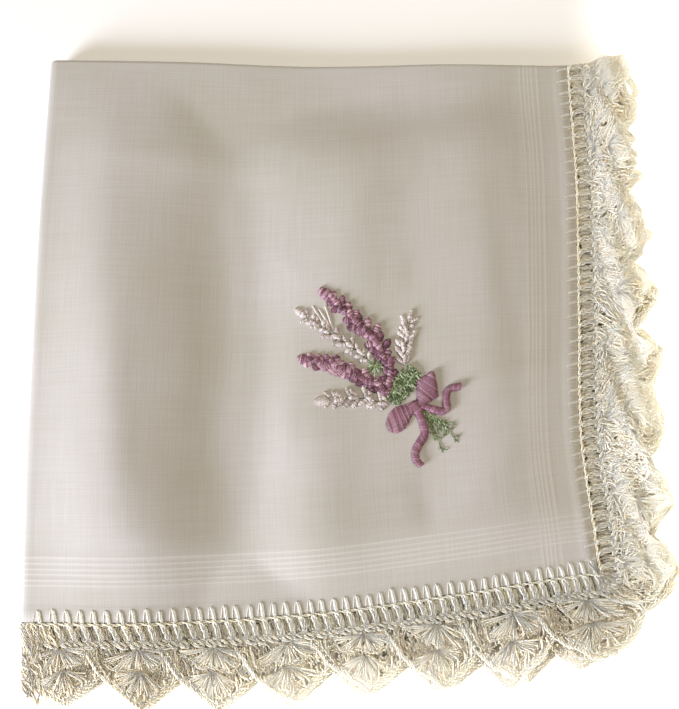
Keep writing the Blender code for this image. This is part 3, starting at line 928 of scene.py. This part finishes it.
# each spike: the way its stem runs from the tip, how many pairs of petals, petal size, tip bud
spikes = (
    dict(thread="mauve", petals=13, long=2.7, wide=1.8, bud=(4.4, 2.9), open=38, stem=(   # upper mauve
        (67.6, 60.2), (72.4, 63.9), (76.0, 67.7), (79.9, 71.0), (82.8, 75.2), (84.3, 79.0), (83.4, 82.8))),
    dict(thread="mauve", petals=11, long=2.5, wide=1.8, bud=(3.6, 2.6), open=42, stem=(   # lower mauve
        (62.7, 76.4), (69.0, 77.6), (73.0, 78.7), (77.2, 80.6), (81.4, 82.7), (84.4, 84.6))),
    dict(thread="pale", petals=12, long=2.1, wide=0.95, bud=(3.2, 1.6), open=42, stem=(   # left white
        (61.9, 65.0), (67.2, 68.6), (71.4, 71.3), (75.4, 73.7), (79.4, 76.8))),
    dict(thread="pale", petals=9, long=2.5, wide=1.0, bud=(3.2, 2.1), open=50, stem=(     # lower white
        (66.9, 86.3), (73.9, 85.6), (79.0, 85.6), (84.2, 87.0))),
    dict(thread="pale", petals=9, long=2.4, wide=0.9, bud=(2.8, 1.3), open=46, stem=(     # top white
        (89.4, 65.2), (88.4, 69.4), (87.9, 73.0), (87.7, 78.0))),
)
bow = (  # spine and the width of the satin at each of its points: two loops, knot, two tails
    dict(wide=(1.4, 3.9, 6.4, 3.4, 0.7),
         spine=((91.6, 87.4), (92.4, 85.4), (93.2, 83.6), (93.9, 81.6), (94.4, 79.8))),
    dict(wide=(1.6, 4.0, 5.4, 4.9, 2.0),
         spine=((89.8, 88.3), (88.4, 89.2), (86.8, 90.4), (85.3, 91.4), (84.1, 92.2))),
    dict(wide=(2.4, 3.0, 2.2), spine=((89.2, 86.9), (90.4, 88.0), (91.6, 89.1))),
    dict(wide=(1.5, 1.6, 1.7, 1.8, 1.6, 1.6, 1.5), spine=(
        (92.0, 87.6), (94.3, 88.3), (96.5, 88.9), (97.8, 88.2), (97.6, 85.8), (98.3, 83.8), (101.0, 83.2))),
    dict(wide=(1.6, 1.7, 1.8, 1.9, 1.8, 1.7, 1.3), spine=(
        (91.1, 88.8), (92.2, 91.4), (92.7, 94.0), (91.4, 96.2), (90.4, 98.2), (90.7, 100.2), (91.9, 101.4))),
)
# below the bow: where each stem ends, and how far it is bowed
stems = (((99.6, 92.0), 0.5), ((98.0, 92.6), 0.2), ((100.2, 96.0), -0.8), ((97.6, 94.4), 0.0),
         ((96.6, 98.2), -0.6), ((95.0, 95.4), -0.2), ((96.8, 91.0), 0.4))
# left of the upper spike: bare stitches, from and to
bareStitches = (((66.0, 64.2), (69.0, 68.9)), ((67.5, 64.9), (70.2, 68.9)), ((69.0, 64.2), (70.9, 69.6)))


def flatCurve(points, steps):
    points = np.array(points, float)
    return smoothLine(np.concatenate([points, np.zeros((len(points), 1))], axis=1), steps)


def satin(strands, rng, spine, wide, base, tone, slant=0.0, mixed=1.0):
    # stitches laid side by side across a spine, each arching over the padding
    line = flatCurve(spine, 60)
    widths = np.interp(np.linspace(0, len(wide) - 1, len(line)), np.arange(len(wide)), wide)
    run, across = lengthsAlong(line), frameAlong(line)
    for at in np.arange(0.08, run[-1], bunch["gap"]):
        middle, sideways = valuesAt(at, run, line), valuesAt(at, run, across)
        ahead = np.array([-sideways[1], sideways[0], 0])
        half = np.interp(at, run, widths) / 2 + rng.normal(0, 0.05)
        ends = sideways * half + ahead * slant * half
        share = np.linspace(-1, 1, 6)
        arch = min(bunch["rise"], 0.15 + half * 0.45) * (1 - share**4)
        stitch = middle + share[:, None] * ends + np.array([0, 0, 1]) * (base + arch)[:, None]
        strands.add(stitch, bunch["thread"], tone + mixed * rng.choice([-0.30, -0.12, 0.0, 0.10, 0.34]))


def petal(strands, rng, foot, direction, long, wide, base, tone):
    # a small satin leaf: narrow at its foot, full beyond the middle, rounded at its end
    foot, direction = np.array(foot), np.array(direction)
    side = np.array([-direction[1], direction[0]])
    curl = rng.normal(0, 0.12) * long
    spine = [foot + direction * long * t + side * curl * t * t for t in (0, 0.35, 0.7, 1.0)]
    satin(strands, rng, spine, (0.35 * wide, 0.85 * wide, wide, 0.35 * wide), base, tone,
          slant=rng.uniform(-0.35, 0.35))


def straightStitch(strands, rng, start, end, base, tone, thick=1.0):
    start, end = np.array(start, float), np.array(end, float)
    share = np.linspace(0, 1, 5)
    flat = start + share[:, None] * (end - start)
    rise = base + 0.22 * np.sin(share * math.pi)
    strands.add(np.concatenate([flat, rise[:, None]], axis=1), bunch["thread"] * thick,
                tone + rng.uniform(-0.18, 0.18))


def addSpike(strands, rng, spike):
    line = flatCurve(spike["stem"], 80)[:, :2]
    run = lengthsAlong(line)
    (budLong, budWide), base, pale = spike["bud"], bunch["clothTop"], spike["thread"] == "pale"
    tone = 0.62 if pale else 0.5
    satin(strands, rng, valuesAt(budLong * np.array([0, 0.35, 0.7, 1]), run, line),
          (0.4 * budWide, 0.9 * budWide, budWide, 0.4 * budWide), base, tone + 0.1)
    for k, place in enumerate(np.linspace(budLong + 0.6, run[-1], spike["petals"])):
        here, before = valuesAt(place, run, line), valuesAt(place - 0.5, run, line)
        back = (before - here) / max(np.linalg.norm(before - here), 1e-9)
        full = 0.8 + 0.3 * math.sin(math.pi * (k + 1) / (spike["petals"] + 1))
        for hand in (-1, 1) if pale and k % 2 else (-1, 1, 0):   # a pair, and one on the stem
            angle = math.radians(hand * spike["open"] + rng.normal(0, 8))
            turned = (back[0] * math.cos(angle) - back[1] * math.sin(angle),
                      back[0] * math.sin(angle) + back[1] * math.cos(angle))
            foot = here + np.array(turned) * 0.25 + rng.normal(0, 0.12, 2)
            petal(strands, rng, foot, turned, spike["long"] * full * rng.uniform(0.85, 1.1),
                  spike["wide"] * full, base + 0.02 * k + 0.15 * (hand == 0), tone + rng.uniform(-0.25, 0.2))


def addGreens(strands, rng):
    base = bunch["clothTop"]
    # leaves gathered under the bow: short stitches crossing at odd angles
    upper, lower = (np.array(place) for place in bunch["leavesLine"])
    for k in range(bunch["leaves"]):
        t, s = rng.uniform(0, 1), rng.uniform(-1, 1)
        middle = upper * (1 - t) + lower * t
        spot = middle + np.array([0.82, 0.57]) * s * (2.5 - abs(t - 0.45) * 1.6)
        angle = rng.choice([0.7, 1.1, 2.2]) + rng.normal(0, 0.25)
        reach = np.array([math.cos(angle), math.sin(angle)]) * rng.uniform(0.35, 0.8)
        straightStitch(strands, rng, spot - reach, spot + reach, base + 0.08 + rng.uniform(0, 0.3),
                       rng.choice([0.2, 0.5, 0.85]))
    # small star of leaves between the spikes
    for k in range(bunch["starLeaves"]):
        angle = tau * k / bunch["starLeaves"] + rng.normal(0, 0.1)
        reach = np.array([math.cos(angle), math.sin(angle)])
        centre = np.array(bunch["star"]) + rng.normal(0, 0.25, 2)
        straightStitch(strands, rng, centre + reach * 0.3, centre + reach * rng.uniform(1.4, 2.2),
                       base + 0.2 + rng.uniform(0, 0.2), rng.choice([0.3, 0.6, 0.9]))
    # stems below the bow, fanning out
    for end, bowed in stems:
        start = np.array(bunch["stemsStart"]) + rng.normal(0, 0.3, 2)
        step = (np.array(end) - start) / 5
        side = np.array([-step[1], step[0]]) / max(np.linalg.norm(step), 1e-9) * bowed
        for k in range(5):
            sway, after = (side * math.sin(math.pi * at / 5) for at in (k, k + 1))
            straightStitch(strands, rng, start + step * (k - 0.15) + sway, start + step * (k + 1.1) + after,
                           base, rng.choice([0.25, 0.55]), 1.1)
            for hand in (-1, 1):   # little leaves on the stems
                spot = start + step * (k + rng.uniform(0.2, 0.7)) + sway
                out = np.array([step[1], -step[0]]) * hand * 0.4 + step * 0.4
                straightStitch(strands, rng, spot, spot + out, base + 0.1, rng.choice([0.4, 0.75]))


def makeBunch():
    mauve, pale, green = Strands(), Strands(), Strands()
    rng = np.random.default_rng(77)
    for spike in spikes:
        addSpike(mauve if spike["thread"] == "mauve" else pale, rng, spike)
        # a green stem under the petals
        for start, end in zip(spike["stem"][1:-1], spike["stem"][2:]):
            straightStitch(green, rng, start, end, 0.1, 0.3)
    for start, end in bareStitches:
        straightStitch(pale, rng, start, end, bunch["clothTop"] + 0.05, 0.85, 1.6)
    addGreens(green, rng)
    for part in bow:
        satin(mauve, rng, part["spine"], part["wide"], bunch["clothTop"] + 0.28, 0.5, slant=0.25, mixed=0.45)
    pieces = []
    for name, strands, material in (("lavender_mauve", mauve, mauveSilk), ("lavender_pale", pale, paleSilk),
                                    ("lavender_green", green, greenSilk)):
        right, down, n = strands.points().T
        down = down + bunch["moved"][1] + bunch["askew"] * (right - bunch["hoopRight"])
        right = right + bunch["moved"][0]
        places = folded(right, -down, n + creaseAt(right, down))
        pieces.append(sweptPiece(name, strands, places, sweepTree(name + "Sweep", material), 5))
    return pieces


def makeStage():
    size = 3.0
    floor = bpy.data.meshes.new("floor")
    floor.from_pydata([(-size, -size, 0), (size, -size, 0), (size, size, 0), (-size, size, 0)], [],
                      [(0, 1, 2, 3)])
    floor.materials.append(floorMaterial())
    newObject("floor", floor)
    world = bpy.data.worlds.new("studio")
    world.use_nodes = True
    color, strength = world.node_tree.nodes["Background"].inputs[:2]
    color.default_value, strength.default_value = toLinear("#FFF0D8"), 0.18
    bpy.context.scene.world = world
    lamps = (  # name, place, size, watts, colour, aimed at, spread in degrees
        ("key", (-0.50, -0.34, 0.19), (0.24, 0.24), 7.75, "#EBEFFF", (0.0, 0.0, 0.0), 180),
        ("overhead", (0.22, 0.06, 0.80), (0.35, 0.35), 3.85, "#FFF5E2", (0.0, 0.0, 0.0), 180),
        ("farRim", (0.05, 0.70, 0.30), (0.30, 0.30), 0.65, "#FFFFFF", (0.0, 0.05, 0.0), 180),
        ("overEdge", (0.094, 0.00, 0.26), (0.26, 0.012), 0.085, "#FFFAEE", (0.091, 0.0, 0.0), 14),
        ("overLace", (0.034, -0.096, 0.26), (0.12, 0.012), 0.032, "#FFFAEE", (0.034, -0.091, 0.0), 14),
    )
    for name, place, size, watts, color, target, spread in lamps:
        lamp = bpy.data.lights.new(name, "AREA")
        lamp.shape, lamp.size, lamp.size_y = "RECTANGLE", *size
        lamp.energy, lamp.color, lamp.spread = watts, toLinear(color)[:3], math.radians(spread)
        light = newObject(name, lamp)
        light.location = place
        light.rotation_euler = (Vector(target) - Vector(place)).to_track_quat("-Z", "Y").to_euler()


def makeCamera():
    view = dict(fromCorner=(72.7, -110.2, 219.0), tilt=9.4, lens=48.0)
    camera = bpy.data.cameras.new("camera")
    camera.sensor_fit, camera.sensor_width, camera.lens = "HORIZONTAL", 36.0, view["lens"]
    camera.clip_start = 0.01
    piece = newObject("camera", camera)
    piece.location = (cornerPlace + view["fromCorner"]) * mm
    piece.rotation_euler = Euler((math.radians(view["tilt"]), 0, 0))
    bpy.context.scene.camera = piece


bpy.context.scene.view_settings.view_transform = "Standard"
makeCamera()
makeStage()
clothPiece = makeCloth()
laceTree = sweepTree("laceSweep", crochetCotton)
lacePieces = makeLace(laceTree) + [makeFrizz(laceTree), makeFill(laceTree)]
bunchPieces = makeBunch()

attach(clothPiece, "root")
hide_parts("linen_cloth")
for piece in lacePieces:
    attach(piece, "root")
    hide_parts("lace_edging")
for piece in bunchPieces:
    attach(piece, "root")
    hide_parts("linen_cloth")
